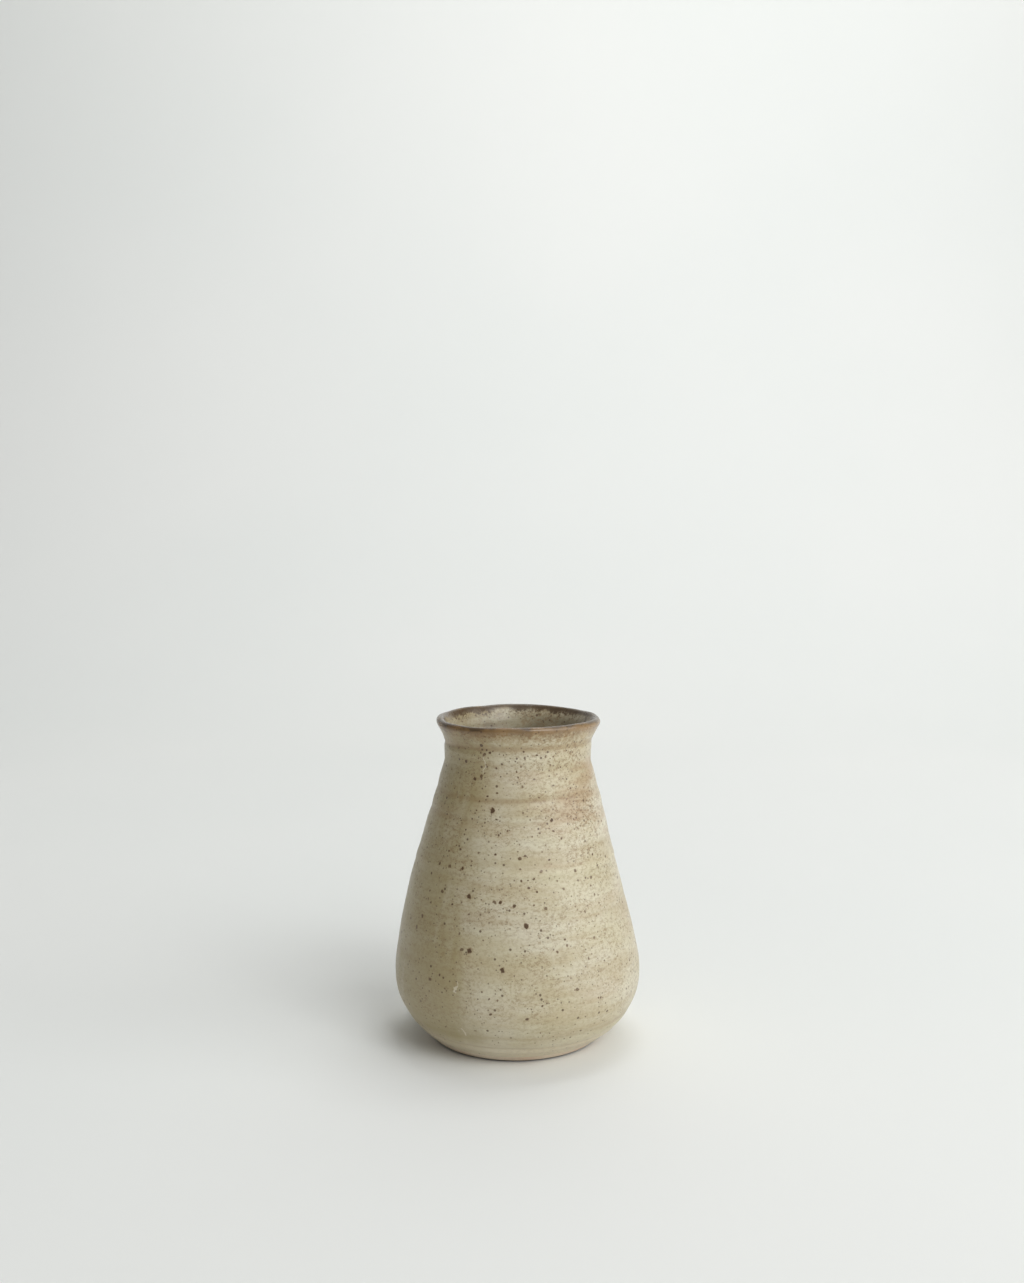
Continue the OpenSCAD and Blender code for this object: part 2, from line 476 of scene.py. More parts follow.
# %% The clay
clay = copy_of(pot, "clay")
pick(clay, faces=zones_of(clay) != CLAY)
bpy.ops.mesh.extrude_region_shrink_fatten(TRANSFORM_OT_shrink_fatten={"value": -glaze})
bpy.ops.object.mode_set(mode="OBJECT")
bpy.ops.object.shade_smooth_by_angle(angle=SHARP)
print("clay", len(clay.data.polygons), "faces")
bpy.data.objects.remove(pot)

# %% [markdown]
# ## One iron spot
# Grains of iron in the clay melt, boil up through the glaze and leave dark round spots with a soft
# edge. Each of them is a low dome, sunk in the coat. One is modelled and the rest are copies: a circle is
# filled, inset, and its middle is poked, which gives two rings of faces to bend and to colour. A number
# called "melt" runs from nothing at the rim to one at the middle, so that the finish can fade each spot
# out into the glaze around it.

# %% One iron spot
SPOT_SIDES = 10
SPOT_INSET = 0.5

put_down()
bpy.ops.mesh.primitive_circle_add(vertices=SPOT_SIDES, radius=1, fill_type="NGON", location=(0, 0, 0))
one_spot = bpy.context.object
one_spot.name = "one_spot"
bpy.ops.object.mode_set(mode="EDIT")
bpy.ops.mesh.select_mode(type="FACE")
bpy.ops.mesh.select_all(action="SELECT")
bpy.ops.mesh.inset(thickness=SPOT_INSET)
bpy.ops.mesh.poke()
bpy.ops.object.mode_set(mode="OBJECT")

at = points_of(one_spot)
melt = 1 - np.hypot(at[:, 0], at[:, 1])
remember(one_spot, "melt", melt)
print("one spot:", len(one_spot.data.polygons), "faces")

# %% [markdown]
# ## Where the spots are
# The bigger spots are solids in the CAD, so their places and sizes are read from there: a copy of the
# node is merged, because its mesh is loose triangles, and separated into its loose parts. The small ones
# are too many and too small for the CAD. They are scattered here with a fixed seed, closest together on
# the upper body at the front right, and none may touch another.

# %% Where the spots are
SMALL_SPOTS = 290
SMALL_SPOT_SIZES = (0.5, 1.0)
# how low and how high they may lie, as shares of the coat's height
SPOT_HEIGHTS = (0.08, 0.97)
SPOT_GAP = 2.0 * MM
# where they are thickest and how far that reaches: as shares of the coat's height, and in degrees round
CROWD_HEIGHT, CROWD_AZIMUTH = (0.74, 0.26), (16, 32)

hand = random.Random(11)
copy_of(nodes["iron_spots"], "cad_spots")
bpy.ops.object.mode_set(mode="EDIT")
bpy.ops.mesh.select_all(action="SELECT")
bpy.ops.mesh.remove_doubles(threshold=NEAR / 10)
bpy.ops.mesh.separate(type="LOOSE")
bpy.ops.object.mode_set(mode="OBJECT")
spot_places = []
for part in list(bpy.context.selected_objects):
    at = points_of(part)
    low, high = at.min(0), at.max(0)
    middle = (low + high) / 2
    spot_places.append((math.degrees(math.atan2(middle[0], -middle[1])), middle[2], high[2] - low[2]))
    bpy.data.objects.remove(part)


def bell(value, middle, width):
    return math.exp(-(((value - middle) / width) ** 2))


# where a finger touched the wet glaze under the lip: (degrees round, height, size), in millimetres
TOUCHED = [
    (-24, 111.5, 0.9), (-21.5, 110.6, 1.0), (-26.5, 109.4, 0.8), (-22.8, 108.8, 0.7), (-29, 110.4, 0.8),
    (-24.5, 106.2, 0.6), (-25.5, 103.2, 0.8), (-27.5, 101.2, 0.9), (-19, 111.2, 0.7), (-31, 108.3, 0.6)]
spot_places += [(azimuth, height * MM, size * MM) for azimuth, height, size in TOUCHED]

outer_top = outer_line[-1][1]
outer_at = np.array(outer_line)
wanted = len(spot_places) + SMALL_SPOTS
while len(spot_places) < wanted:
    azimuth = hand.uniform(-180, 180)
    height = hand.uniform(*SPOT_HEIGHTS) * outer_top
    crowd = bell(height / outer_top, *CROWD_HEIGHT) * (0.3 + 0.7 * bell(azimuth, *CROWD_AZIMUTH))
    if hand.random() > 0.2 + 0.8 * crowd:
        continue
    radius = np.interp(height, outer_at[:, 1], outer_at[:, 0])
    clear = all(
        math.hypot(radius * math.radians((azimuth - a + 180) % 360 - 180), height - z) > SPOT_GAP
        for a, z, _ in spot_places)
    if clear:
        spot_places.append((azimuth, height, hand.uniform(*SMALL_SPOT_SIZES) * MM))
print("spots in all:", len(spot_places))

# %% [markdown]
# ## Setting the spots
# A ray from the axis finds the place and the slope of the real, wavy coat under each spot. The copy is
# turned to that slope, a little longer one way than the other. When all are joined, Shrinkwrap lays every
# point a hair above the coat, a push along the normals domes the middles, and Solidify gives them depth.
# Each point takes over what the coat beneath it remembers, so that its glaze is the same.

# %% Setting the spots
SPOT_HALO = 1.35
SPOT_LIFT = 0.015 * MM
SPOT_DOME = 0.05 * MM
SPOT_DEPTH = 0.8 * glaze
LONGER, NARROWER = (1, 1.25), (0.85, 1)
OUT_OF_REACH = 0.1

copies = []
for azimuth, height, size in spot_places:
    out = way_round(azimuth)
    _, place, normal, _ = outer_coat.ray_cast(out * OUT_OF_REACH + Vector((0, 0, height)), -out)
    one = copy_of(one_spot, "spot")
    wide = SPOT_HALO * size / 2
    slope = normal.to_track_quat("Z", "Y").to_matrix().to_4x4()
    turn = slope @ Matrix.Rotation(hand.uniform(0, math.pi), 4, "Z")
    one.data.transform(Matrix.Translation(place) @ turn @ Matrix.Diagonal(
        (wide * hand.uniform(*LONGER), wide * hand.uniform(*NARROWER), wide, 1)))
    dark = min(1.0, hand.uniform(0.55, 1.05) + max(0, size / MM - 1.5))
    remember(one, "dark", np.full(len(one.data.vertices), dark))
    copies.append(one)
take_up(*copies)
bpy.ops.object.join()
spots = bpy.context.object
spots.name = spots.data.name = "melted_spots"
bpy.data.objects.remove(one_spot)

finish_modifier(spots, "SHRINKWRAP", target=outer_coat, wrap_method="NEAREST_SURFACEPOINT",
                wrap_mode="ABOVE_SURFACE", offset=SPOT_LIFT)
at = points_of(spots)
melt = value_of(spots, "melt")
at += normals_of(spots) * (SPOT_DOME * np.sqrt(np.clip(melt, 0, 1)))[:, None]
spots.data.vertices.foreach_set("co", at.ravel())
coat_points = kdtree.KDTree(len(outer_coat.data.vertices))
for i, vertex in enumerate(outer_coat.data.vertices):
    coat_points.insert(vertex.co, i)
coat_points.balance()
under = [coat_points.find(point)[1] for point in at]
for name in ("from_lip", "proud"):
    remember(spots, name, value_of(outer_coat, name)[under])
finish_modifier(spots, "SOLIDIFY", thickness=SPOT_DEPTH, offset=-1)
bpy.ops.object.shade_smooth_by_angle(angle=SHARP)
print("spots:", len(spots.data.polygons), "faces")

# %% [markdown]
# ## Tools for mixing glazes
# A material in Blender is a tree of nodes. These short helpers place a node and plug things into its
# sockets, so that a finish reads like a recipe. Sizes are given in metres on the vase, because every
# pattern here is laid out on Object coordinates. Colours are given as they look on a screen, from 0 to
# 255, and turned into the light values that Blender mixes.

# %% Tools for mixing glazes
def paint(red, green, blue):
    def light(value):
        value /= 255
        return value / 12.92 if value <= 0.04045 else ((value + 0.055) / 1.055) ** 2.4
    return (light(red), light(green), light(blue), 1)


def put(tree, kind, sockets=(), **settings):
    """Places a node. Each socket gets a plain value, or a link from another node's output."""
    new = tree.nodes.new(kind)
    for setting, value in settings.items():
        setattr(new, setting, value)
    for name, value in dict(sockets).items():
        if isinstance(value, bpy.types.NodeSocket):
            tree.links.new(value, new.inputs[name])
        else:
            new.inputs[name].default_value = value
    return new


def sums(tree, operation, a, b=0.0):
    return put(tree, "ShaderNodeMath", {0: a, 1: b}, operation=operation).outputs[0]


def times(tree, a, b):
    return sums(tree, "MULTIPLY", a, b)


def height_and_way_round(tree, place):
    """The height of a place, and its angle round the axis from the front."""
    sides = put(tree, "ShaderNodeSeparateXYZ", {"Vector": place}).outputs
    return sides["Z"], sums(tree, "ARCTAN2", sides["X"], times(tree, sides["Y"], -1.0))


def fade(tree, value, start, end, low=0.0, high=1.0):
    """Goes softly from low to high while the value goes from start to end."""
    return put(tree, "ShaderNodeMapRange",
               {"Value": value, "From Min": start, "From Max": end, "To Min": low, "To Max": high},
               interpolation_type="SMOOTHSTEP").outputs["Result"]


def blend(tree, share, a, b):
    """One colour, mixed into another by this share."""
    return put(tree, "ShaderNodeMix", {0: share, 6: a, 7: b}, data_type="RGBA").outputs[2]


def stretched(tree, at, x, y, z, shift=(0, 0, 0)):
    """The same place, read in stretched coordinates, so that a pattern on it is drawn out."""
    return put(tree, "ShaderNodeMapping", {"Vector": at, "Scale": (x, y, z), "Location": shift}).outputs[0]


def cloud(tree, at, size, detail=2.0, rough=0.5, bend=0.0):
    """Soft noise from 0 to 1, with blobs of about this size."""
    noisy = {"Vector": at, "Scale": 1 / size, "Detail": detail, "Roughness": rough, "Distortion": bend}
    return put(tree, "ShaderNodeTexNoise", noisy).outputs["Fac"]


def dots(tree, at, cell, radius, share):
    """Round dots: at most one to a cell of this size, in this share of the cells, up to this radius."""
    cells = put(tree, "ShaderNodeTexVoronoi", {"Vector": at, "Scale": 1 / cell})
    chance = put(tree, "ShaderNodeSeparateColor", {"Color": cells.outputs["Color"]}).outputs
    size = times(tree, fade(tree, chance["Red"], 0, 1, 0.35, 1), radius / cell)
    inside = fade(tree, cells.outputs["Distance"], size, times(tree, size, 0.45))
    return times(tree, inside, sums(tree, "LESS_THAN", chance["Green"], share))


def new_effect(name, takes, gives):
    """An empty node group with these named inputs and outputs."""
    group = bpy.data.node_groups.new(name, "ShaderNodeTree")
    for way, sockets in (("INPUT", takes), ("OUTPUT", gives)):
        for socket, kind in sockets.items():
            group.interface.new_socket(socket, in_out=way, socket_type="NodeSocket" + kind)
    return group, group.nodes.new("NodeGroupInput").outputs


def give(group, **results):
    put(group, "NodeGroupOutput", {name.replace("_", " "): value for name, value in results.items()})


def effect(tree, group, **values):
    return put(tree, "ShaderNodeGroup", {name.replace("_", " "): value for name, value in values.items()},
               node_tree=group).outputs


# %% [markdown]
# ## Effect: iron pepper
# Close up the glaze is full of iron, at three sizes: a grain too fine to count, pin pricks, and small
# dots. A cell pattern (Voronoi) gives one dot to a cell and a random number with it, which serves twice:
# for the size of the dot and for whether it is there at all. The amount says how thick it lies: the
# whole glaze asks for less of it near the foot, and for more high on the right side.

# %% Effect: iron pepper
iron_pepper, given = new_effect(
    "Iron pepper", {"Place": "Vector", "Amount": "Float"}, {"Grain": "Float", "Dots": "Float"})
tree = iron_pepper
place, amount = given["Place"], given["Amount"]
across = stretched(tree, place, 1, 1, 1.5)
fine = fade(tree, cloud(tree, across, 1.5 * MM, detail=4, rough=0.85), 0.44, 0.64)
patch = fade(tree, cloud(tree, place, 14 * MM), 0.3, 0.7, 0.45, 1)
grain = times(tree, fine, times(tree, patch, amount))
pricked = times(tree, times(tree, amount, patch), 0.85)
pricks = dots(tree, place, 1.25 * MM, 0.43 * MM, pricked)
shifted = stretched(tree, place, 1, 1, 1, (3, 1, 2))
small = dots(tree, shifted, 2.6 * MM, 0.66 * MM, times(tree, amount, 0.55))
give(tree, Grain=grain, Dots=sums(tree, "MAXIMUM", times(tree, pricks, 0.8), small))
print("iron pepper:", len(tree.nodes), "nodes")

# %% [markdown]
# ## Effect: clouding and bands
# The finger rings hold more glaze in their grooves than on their ridges, so its tone changes in soft
# level bands, and the iron in it flocks into rusty stretches, most of them high on the right side. Both
# are noise on coordinates that are squeezed sideways, which draws every blob out into a band. A wider
# noise makes it cloudy, and one that is drawn out upright gives the runs of the melted glaze.

# %% Effect: clouding and bands
clouding, given = new_effect(
    "Clouding", {"Place": "Vector"}, dict.fromkeys(("Cloud", "Band", "Side", "Rust", "Run"), "Float"))
tree = clouding
place = given["Place"]
wide = stretched(tree, place, 0.6, 0.6, 1)
soft = fade(tree, cloud(tree, wide, 20 * MM, detail=4, rough=0.6, bend=0.4), 0.3, 0.7)
level = stretched(tree, place, 0.14, 0.14, 1)
band = fade(tree, cloud(tree, level, 6 * MM, detail=4, rough=0.6), 0.34, 0.66)
flocks = cloud(tree, stretched(tree, place, 0.22, 0.22, 1, (0.4, 0, 0)), 8 * MM, detail=4, rough=0.65)
sides = put(tree, "ShaderNodeSeparateXYZ", {"Vector": place}).outputs
right = fade(tree, sides["X"], -2 * MM, 24 * MM, 0.3, 1)
high = fade(tree, sides["Z"], 55 * MM, 78 * MM, 0.4, 1)
side = times(tree, right, high)
rust = times(tree, fade(tree, flocks, 0.48, 0.66), side)
run = fade(tree, cloud(tree, stretched(tree, place, 1, 1, 0.12), 7 * MM, detail=2), 0.55, 0.75)
give(tree, Cloud=soft, Band=band, Side=side, Rust=rust, Run=run)
print("clouding:", len(tree.nodes), "nodes")

# %% [markdown]
# ## Effect: painted shade on the left
# The left side of the outside, which faces away from the lamps, gets a painted shade: a darker, greener
# tone whose edge runs down the vase as an uneven line. The line is found from the angle round the axis,
# which the arctangent of the two level coordinates gives, and noise stretched upright makes it wander.

# %% Effect: painted shade on the left
# the painted shade lies between these angles round the axis, on the side away from the lamps
SHADE_FROM, SHADE_TO = math.radians(-24), math.radians(-165)
SHADE_WANDER = 0.14

painted_left_shade, given = new_effect("Painted left shade", {"Place": "Vector"}, {"Pour": "Float"})
tree = painted_left_shade
place = given["Place"]
_, round_axis = height_and_way_round(tree, place)
upright = stretched(tree, place, 1, 1, 0.3)
wander = fade(tree, cloud(tree, upright, 16 * MM, detail=3), 0.25, 0.75, -SHADE_WANDER, SHADE_WANDER)
angle = sums(tree, "ADD", round_axis, wander)
near_edge = fade(tree, angle, SHADE_FROM + 0.12, SHADE_FROM - 0.2)
far_edge = fade(tree, angle, SHADE_TO, SHADE_TO + 0.3)
give(tree, Pour=times(tree, near_edge, far_edge))
print("painted left shade:", len(tree.nodes), "nodes")

# %% [markdown]
# ## Effect: the lip break
# A glaze like this breaks brown wherever it is thin, and it is thinnest over the lip, because it ran
# off both ways. The distance from the crest, which every point carries, is bent a little by noise and
# looked up in a ramp of colours. The ramp's alpha says how much of each colour covers the plain glaze.
# Outside and to the right the brown is a lighter tan, partly the glaze's own and partly painted light on the
# side the lamps face.

# %% Effect: the lip break
# (distance from the crest in mm, minus inside; colour; how much it covers)
LIP_COLOURS = [
    (-4.6, paint(136, 122, 88), 0.0), (-2.5, paint(120, 100, 66), 0.4), (-1.5, paint(90, 70, 44), 0.85),
    (-0.7, paint(76, 56, 33), 0.95), (0.3, paint(80, 59, 34), 0.95), (0.9, paint(122, 91, 51), 0.92),
    (2.6, paint(142, 108, 63), 0.88), (4.2, paint(157, 127, 79), 0.6), (7.4, paint(180, 157, 112), 0.0)]
LIP_REACH = 12.0
LIP_TAN, LIP_DARK = paint(184, 154, 116), paint(74, 58, 40)

lip_break, given = new_effect(
    "Lip break", {"Place": "Vector", "From Lip": "Float"}, {"Color": "Color", "Cover": "Float"})
tree = lip_break
place = given["Place"]
upright = stretched(tree, place, 1, 1, 0.4)
wander = fade(tree, cloud(tree, upright, 5 * MM, detail=3), 0.25, 0.75, -0.9, 0.9)
crumbs = fade(tree, cloud(tree, place, 1.3 * MM, detail=3, rough=0.8), 0.35, 0.65, -1.4, 1.4)
off_crest = fade(tree, sums(tree, "ABSOLUTE", given["From Lip"]), 0.8, 3.2)
wander = sums(tree, "ADD", wander, times(tree, crumbs, off_crest))
gone = sums(tree, "ADD", given["From Lip"], wander)
share = put(tree, "ShaderNodeMapRange", {"Value": gone, "From Min": -LIP_REACH, "From Max": LIP_REACH})
ramp = put(tree, "ShaderNodeValToRGB", {"Fac": share.outputs[0]})
marks = ramp.color_ramp.elements
while len(marks) < len(LIP_COLOURS):
    marks.new(0.5)
for mark, (distance, colour, cover) in zip(marks, LIP_COLOURS):
    mark.position = (distance + LIP_REACH) / (2 * LIP_REACH)
    mark.color = colour[:3] + (cover,)
right = put(tree, "ShaderNodeSeparateXYZ", {"Vector": place}).outputs["X"]
# lighter tan towards the right: partly the glaze's own tan, partly painted light on the side the lamps face
lit_side_tan = times(tree, fade(tree, right, 4 * MM, 30 * MM, 0, 0.4), fade(tree, given["From Lip"], 0, 1.5))
colour = blend(tree, lit_side_tan, ramp.outputs["Color"], LIP_TAN)
uneven = fade(tree, cloud(tree, place, 9 * MM, detail=2), 0.3, 0.7)
colour = blend(tree, times(tree, uneven, 0.35), colour, LIP_DARK)
give(tree, Color=colour, Cover=ramp.outputs["Alpha"])
print("lip break:", len(tree.nodes), "nodes")

# %% [markdown]
# ## Effect: a scratch
# A few pale upright nicks show where something brushed the glaze before it was fired: one under the lip
# and two near the foot. One group draws one nick at a given angle and height. It fades out at both
# ends, and a little noise bends it.

# %% Effect: a scratch
# (degrees round from the front, height, half the length), in millimetres
SCRATCHES = [(-26, 106.3, 3.8), (-28, 30.5, 2.6), (-27, 14, 2.0)]
SCRATCH_HALF_WIDTH = math.radians(0.9)

scratch, given = new_effect(
    "Scratch", {"Place": "Vector", "Angle": "Float", "Height": "Float", "Half Length": "Float"},
    {"Mask": "Float"})
tree = scratch
height, round_axis = height_and_way_round(tree, given["Place"])
bend = fade(tree, cloud(tree, given["Place"], 3 * MM), 0.3, 0.7, -0.03, 0.03)
aside = sums(tree, "ADD", sums(tree, "SUBTRACT", round_axis, given["Angle"]), bend)
thin = fade(tree, sums(tree, "ABSOLUTE", aside), SCRATCH_HALF_WIDTH, 0.3 * SCRATCH_HALF_WIDTH)
up = sums(tree, "ABSOLUTE", sums(tree, "SUBTRACT", height, given["Height"]))
short = fade(tree, sums(tree, "DIVIDE", up, given["Half Length"]), 1, 0.5)
give(tree, Mask=times(tree, thin, short))
print("scratch:", len(tree.nodes), "nodes")

# %% [markdown]
# ## Effect: the whole glaze
# The three coats and the rims of the spots are one glaze that was poured and dipped, so one group mixes
# it for all four. Where two materials meet they then have the same colour, and no seam shows. It starts
# from a light and a deep tone, and every other tone is a thin layer over the last: its mask says where it
# lies, and a number how strong it is. The brown of the lip and the dots of iron come last.

# %% Effect: the whole glaze
LIGHT_GLAZE, DEEP_GLAZE = paint(211, 204, 182), paint(198, 189, 158)
IRON = paint(84, 60, 38)
COLLAR_AT = 112.3 * MM

glaze_coat, given = new_effect(
    "Glaze coat", {"Place": "Vector", "From Lip": "Float", "Proud": "Float"},
    {"Color": "Color", "Height": "Float", "Roughness": "Float"})
tree = glaze_coat
place, gone, proud = given["Place"], given["From Lip"], given["Proud"]
height = put(tree, "ShaderNodeSeparateXYZ", {"Vector": place}).outputs["Z"]
outside, inside = fade(tree, gone, 0, 2), fade(tree, gone, -2.0, -4.5)
tones = effect(tree, clouding, Place=place)
left_shade = effect(tree, painted_left_shade, Place=place)["Pour"]
near_foot = fade(tree, height, 9 * MM, 24 * MM, 0.2, 0.75)
amount = sums(tree, "ADD", near_foot, times(tree, tones["Side"], 0.5))
pepper = effect(tree, iron_pepper, Place=place, Amount=amount)
lip = effect(tree, lip_break, Place=place, From_Lip=gone)
off_collar = sums(tree, "ABSOLUTE", sums(tree, "SUBTRACT", height, COLLAR_AT))
collar = times(tree, fade(tree, off_collar, 1.6 * MM, 0.2 * MM), outside)
wander = fade(tree, cloud(tree, stretched(tree, place, 1, 1, 0.4), 7 * MM), 0.3, 0.7, -1.5, 1.5)
# painted shade: the inside grows darker deep down the neck, below the lip's brown
painted_throat_shade = fade(tree, sums(tree, "ADD", gone, wander), -5.5, -9.5)
blots = times(tree, dots(tree, place, 6.5 * MM, 1.5 * MM, 0.6), inside)

# (where it lies, how strong it is, its colour), from the lowest layer up
LAYERS = [
    (tones["Band"], 0.45, paint(170, 150, 110)),  # level bands
    # painted shade over the left side of the vase, away from the lamps
    (left_shade, 0.68, paint(156, 140, 94)),  # the second pour
    (fade(tree, proud, -0.03, -0.24), 0.5, paint(146, 120, 78)),  # pooled in a groove
    (fade(tree, proud, 0.05, 0.20), 0.35, paint(216, 207, 178)),  # thin on a ridge
    # partly painted light: besides the thinner glaze, the foot is made paler to lift the shade close to the
    # floor
    (fade(tree, height, 12 * MM, 5 * MM), 0.7, paint(220, 208, 182)),  # thin and pale near the foot
    (inside, 0.8, paint(172, 165, 138)),  # the liner, greyer
    (tones["Rust"], 0.4, paint(160, 118, 74)),  # rusty flocks
    (collar, 0.45, paint(150, 122, 80)),  # the groove under the lip
    (tones["Run"], 0.2, paint(214, 208, 184)),  # pale runs
    # painted shade on the inside of the right wall, which faces away from the lamps
    (times(tree, tones["Side"], inside), 0.45, paint(112, 92, 62)),  # the liner's right side
    # painted shade deep in the throat
    (painted_throat_shade, 0.6, paint(92, 78, 54)),  # the deep throat
    (pepper["Grain"], 0.65, paint(128, 96, 56)),  # iron too fine to count
    (times(tree, tones["Run"], inside), 0.55, paint(124, 104, 74)),  # dark runs inside
]
colour = blend(tree, tones["Cloud"], LIGHT_GLAZE, DEEP_GLAZE)
for degrees, level, half in SCRATCHES:
    where = {"Angle": math.radians(degrees), "Height": level * MM, "Half_Length": half * MM}
    nick = effect(tree, scratch, Place=place, **where)
    LAYERS.append((times(tree, nick["Mask"], outside), 0.6, paint(222, 214, 190)))
for where, strength, tone in LAYERS:
    colour = blend(tree, times(tree, where, strength), colour, tone)
colour = blend(tree, lip["Cover"], colour, lip["Color"])
colour = blend(tree, times(tree, sums(tree, "MAXIMUM", pepper["Dots"], blots), 0.85), colour, IRON)

# in millimetres: a skin like orange peel, a dip at each dot and a swell along each band
relief = times(tree, cloud(tree, place, 1.1 * MM, detail=2), 0.02)
relief = sums(tree, "SUBTRACT", relief, times(tree, pepper["Dots"], 0.02))
relief = sums(tree, "ADD", relief, times(tree, tones["Band"], 0.10))
roughness = fade(tree, cloud(tree, place, 6 * MM), 0.3, 0.7, 0.36, 0.46)
roughness = sums(tree, "SUBTRACT", roughness, times(tree, lip["Cover"], 0.14))
give(tree, Color=colour, Height=relief, Roughness=roughness)
print("whole glaze:", len(tree.nodes), "nodes in", len(LAYERS), "layers")

# %% [markdown]
# ## The finishes
# Each material is a Principled BSDF fed by those effects. The glazes differ only in which piece they
# lie on, and the spots blend from the glaze at their rim to dark iron at their middle. The bare clay is
# dry: no shine, a fine sandy grain, a blush where the kiln's flame turned its skin pink, and a dark line
# of painted shadow along the edge that it stands on.

# %% The finishes
GLOSS, GLOSS_ROUGHNESS = 0.18, 0.25


def new_finish(name, roughness=0.5, gloss=0.0):
    material = bpy.data.materials.get(name) or bpy.data.materials.new(name)
    material.use_nodes = True
    tree = material.node_tree
    tree.nodes.clear()
    surface = put(tree, "ShaderNodeBsdfPrincipled", {
        "Roughness": roughness, "IOR": 1.5, "Coat Weight": gloss, "Coat Roughness": GLOSS_ROUGHNESS})
    put(tree, "ShaderNodeOutputMaterial", {"Surface": surface.outputs[0]})
    place = put(tree, "ShaderNodeTexCoord").outputs["Object"]
    return material, tree, surface, place


def dress(tree, surface, colour, roughness, height):
    """Plugs a colour, a roughness and a height in millimetres into the surface."""
    bump = put(tree, "ShaderNodeBump", {"Height": height, "Distance": MM, "Strength": 1.0})
    for socket, value in (("Base Color", colour), ("Roughness", roughness), ("Normal", bump.outputs[0])):
        tree.links.new(value, surface.inputs[socket])


def remembered(tree, name):
    return put(tree, "ShaderNodeAttribute", attribute_name=name).outputs["Fac"]


finishes = {}
for name in ("outside glaze", "lip glaze", "liner glaze", "iron spot"):
    material, tree, surface, place = new_finish(name, gloss=GLOSS)
    coat = effect(tree, glaze_coat, Place=place, From_Lip=remembered(tree, "from_lip"),
                  Proud=remembered(tree, "proud"))
    colour, roughness = coat["Color"], coat["Roughness"]
    if name == "iron spot":
        ragged = fade(tree, cloud(tree, place, 0.8 * MM, detail=2), 0.2, 0.8, -0.22, 0.22)
        melt = sums(tree, "ADD", remembered(tree, "melt"), ragged)
        dark = remembered(tree, "dark")
        halo = times(tree, fade(tree, melt, 0.06, 0.42, 0, 0.5), dark)
        core = times(tree, fade(tree, melt, 0.26, 0.5, 0, 0.95), dark)
        colour = blend(tree, halo, colour, paint(140, 102, 62))
        colour = blend(tree, core, colour, paint(80, 57, 35))
        roughness = fade(tree, melt, 0.2, 0.6, 0.42, 0.3)
    dress(tree, surface, colour, roughness, coat["Height"])
    finishes[name] = material

material, tree, surface, place = new_finish("bare clay", roughness=0.85)
blush = fade(tree, cloud(tree, place, 16 * MM), 0.3, 0.7)
# the clay's own pale colour, made paler still as painted light that lifts the shade close to the floor
body = blend(tree, blush, paint(232, 218, 196), paint(222, 200, 176))
grit = fade(tree, cloud(tree, place, 0.6 * MM, detail=3, rough=0.7), 0.45, 0.75)
body = blend(tree, times(tree, grit, 0.3), body, paint(184, 156, 128))
specks = dots(tree, place, 2.2 * MM, 0.35 * MM, 0.3)
body = blend(tree, times(tree, specks, 0.6), body, paint(110, 80, 56))
height = put(tree, "ShaderNodeSeparateXYZ", {"Vector": place}).outputs["Z"]
# painted shadow: the lowest edge of the foot goes nearly black where it meets the floor
painted_contact_shadow = fade(tree, height, 0.75 * MM, 0.45 * MM)
body = blend(tree, times(tree, painted_contact_shadow, 0.9), body, paint(70, 54, 42))
dress(tree, surface, body, fade(tree, grit, 0, 1, 0.8, 0.92), times(tree, grit, 0.05))
finishes["bare clay"] = material
print("finishes:", sorted(finishes))

# %% [markdown]
# ## Which piece stands for which
# Each hand-shaped piece takes its finish, replaces its CAD solid, which is hidden, and rides on the one
# body there is, because nothing on a vase moves.

# %% Which piece stands for which
for piece, node, finish in (
        (clay, "clay_body", "bare clay"), (outer_coat, "outer_glaze", "outside glaze"),
        (lip_coat, "rim_glaze", "lip glaze"), (liner_coat, "liner_glaze", "liner glaze"),
        (spots, "iron_spots", "iron spot")):
    piece.data.materials.clear()
    piece.data.materials.append(finishes[finish])
    piece.data.polygons.foreach_set("material_index", np.zeros(len(piece.data.polygons), np.int32))
    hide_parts(node)
    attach(piece, "root")

# %% [markdown]
# ## The studio
# The vase stands on a pale sheet of paper that sweeps up behind it, so that no horizon shows. It is a
# plane whose far edge is extruded upwards and whose fold is bevelled into a wide curve.

# %% The studio
FLOOR_DROP = 0.02 * MM
SHEET = 6.0
WALL_AT, WALL_HIGH, CURVE, CURVE_STEPS = 1.5, 3.0, 0.9, 32

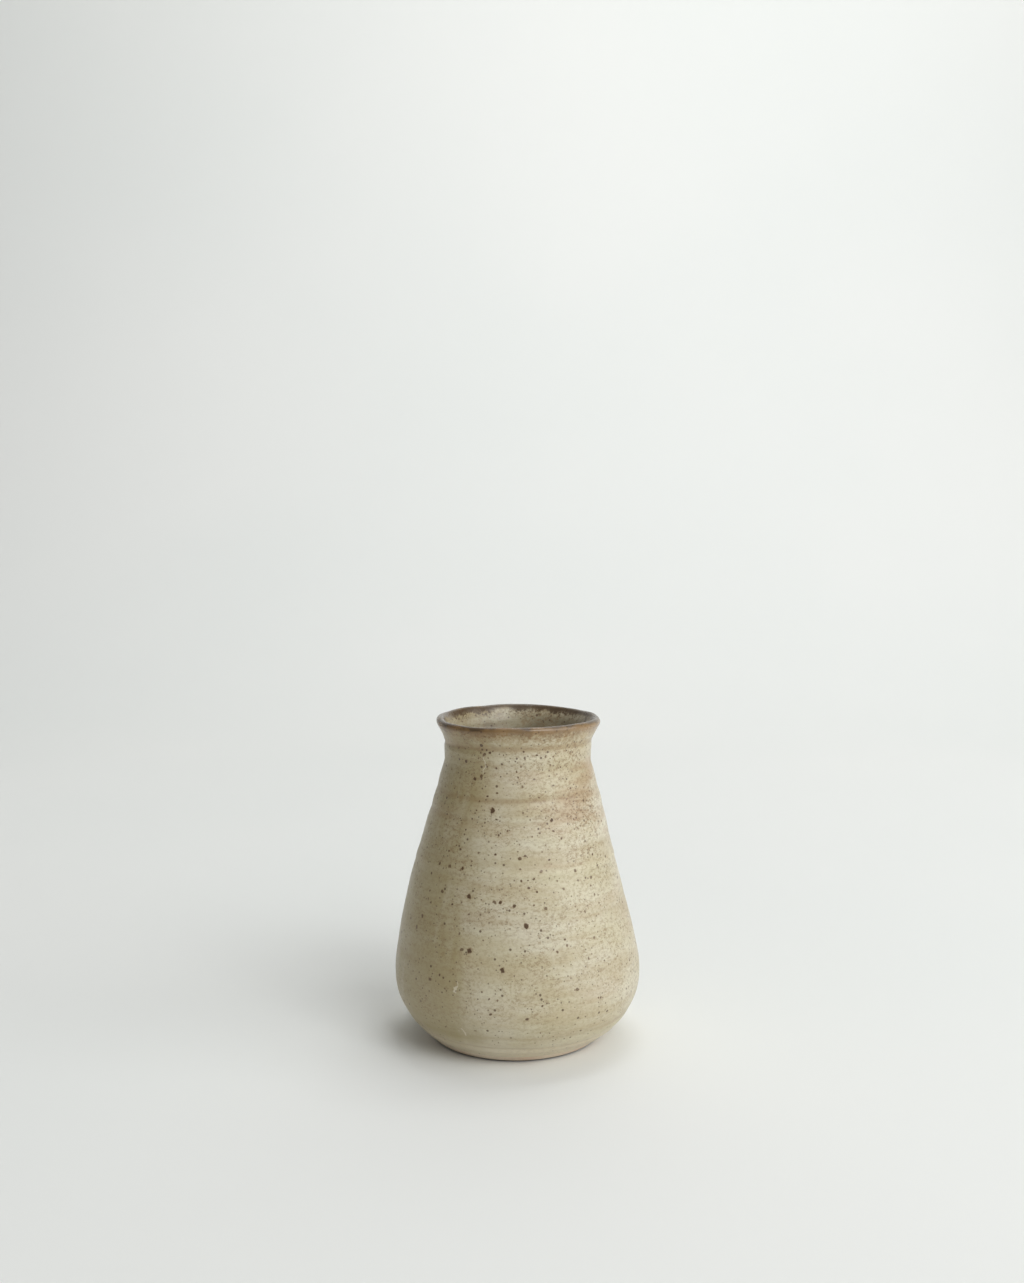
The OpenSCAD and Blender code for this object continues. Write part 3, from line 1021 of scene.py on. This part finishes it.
put_down()
bpy.ops.mesh.primitive_plane_add(size=SHEET, location=(0, WALL_AT - SHEET / 2, -FLOOR_DROP))
sheet = bpy.context.object
sheet.name = "paper_sweep"
bpy.ops.object.transform_apply(location=True)
pick(sheet, points=points_of(sheet)[:, 1] > 0)
bpy.ops.mesh.extrude_region_move(TRANSFORM_OT_translate={"value": (0, 0, WALL_HIGH)})
bpy.ops.object.mode_set(mode="OBJECT")
at = points_of(sheet)
pick(sheet, points=(at[:, 1] > WALL_AT / 2) & (at[:, 2] < WALL_HIGH / 2))
bpy.ops.mesh.bevel(offset=CURVE, offset_type="OFFSET", segments=CURVE_STEPS, affect="EDGES")
bpy.ops.object.mode_set(mode="OBJECT")
bpy.ops.object.shade_smooth()

material, tree, surface, place = new_finish("paper", roughness=0.9)
faint = fade(tree, cloud(tree, place, 0.5), 0.3, 0.7)
pale = blend(tree, faint, paint(229, 230, 226), paint(232, 232, 228))
tree.links.new(pale, surface.inputs["Base Color"])
sheet.data.materials.append(material)
print("sheet:", len(sheet.data.polygons), "faces")

# %% [markdown]
# ## The light
# Soft light comes from the right and the front: a window at the side, a stronger panel in front and a weak
# one overhead. A fourth panel only washes the paper behind. The left side of the vase falls off into
# shade, and the dim room and the paper around it lift that a little.

# %% The light
# (name, where it hangs, where it points, its side, its power), in metres and watts
LAMPS = [
    ("overhead", (0.3, 0.0, 1.6), (0, 0, 0), 2.0, 4.5),
    ("window", (1.3, -0.5, 0.7), (0, 0, 0.06), 1.2, 10),
    ("front", (0.8, -1.2, 1.2), (0, 0, 0.06), 1.0, 14.5),
    ("wash", (0.3, 0.6, 2.0), (0, 2.0, 0.8), 1.0, 17.5),
]
ROOM = 0.21
DAYLIGHT = (0.965, 0.985, 1.0)

for name, place, aim, side, power in LAMPS:
    lamp = bpy.data.objects.new(name, bpy.data.lights.new(name, "AREA"))
    bpy.context.scene.collection.objects.link(lamp)
    lamp.location = place
    lamp.rotation_euler = (Vector(aim) - Vector(place)).to_track_quat("-Z", "Y").to_euler()
    lamp.data.shape = "SQUARE"
    lamp.data.size = side
    lamp.data.energy = power
    lamp.data.color = DAYLIGHT

world = bpy.data.worlds.new("room")
bpy.context.scene.world = world
world.use_nodes = True
room = world.node_tree.nodes["Background"].inputs
room["Color"].default_value = paint(250, 250, 252)
room["Strength"].default_value = ROOM
bpy.context.scene.view_settings.view_transform = "Standard"
print("lamps:", [lamp[0] for lamp in LAMPS])
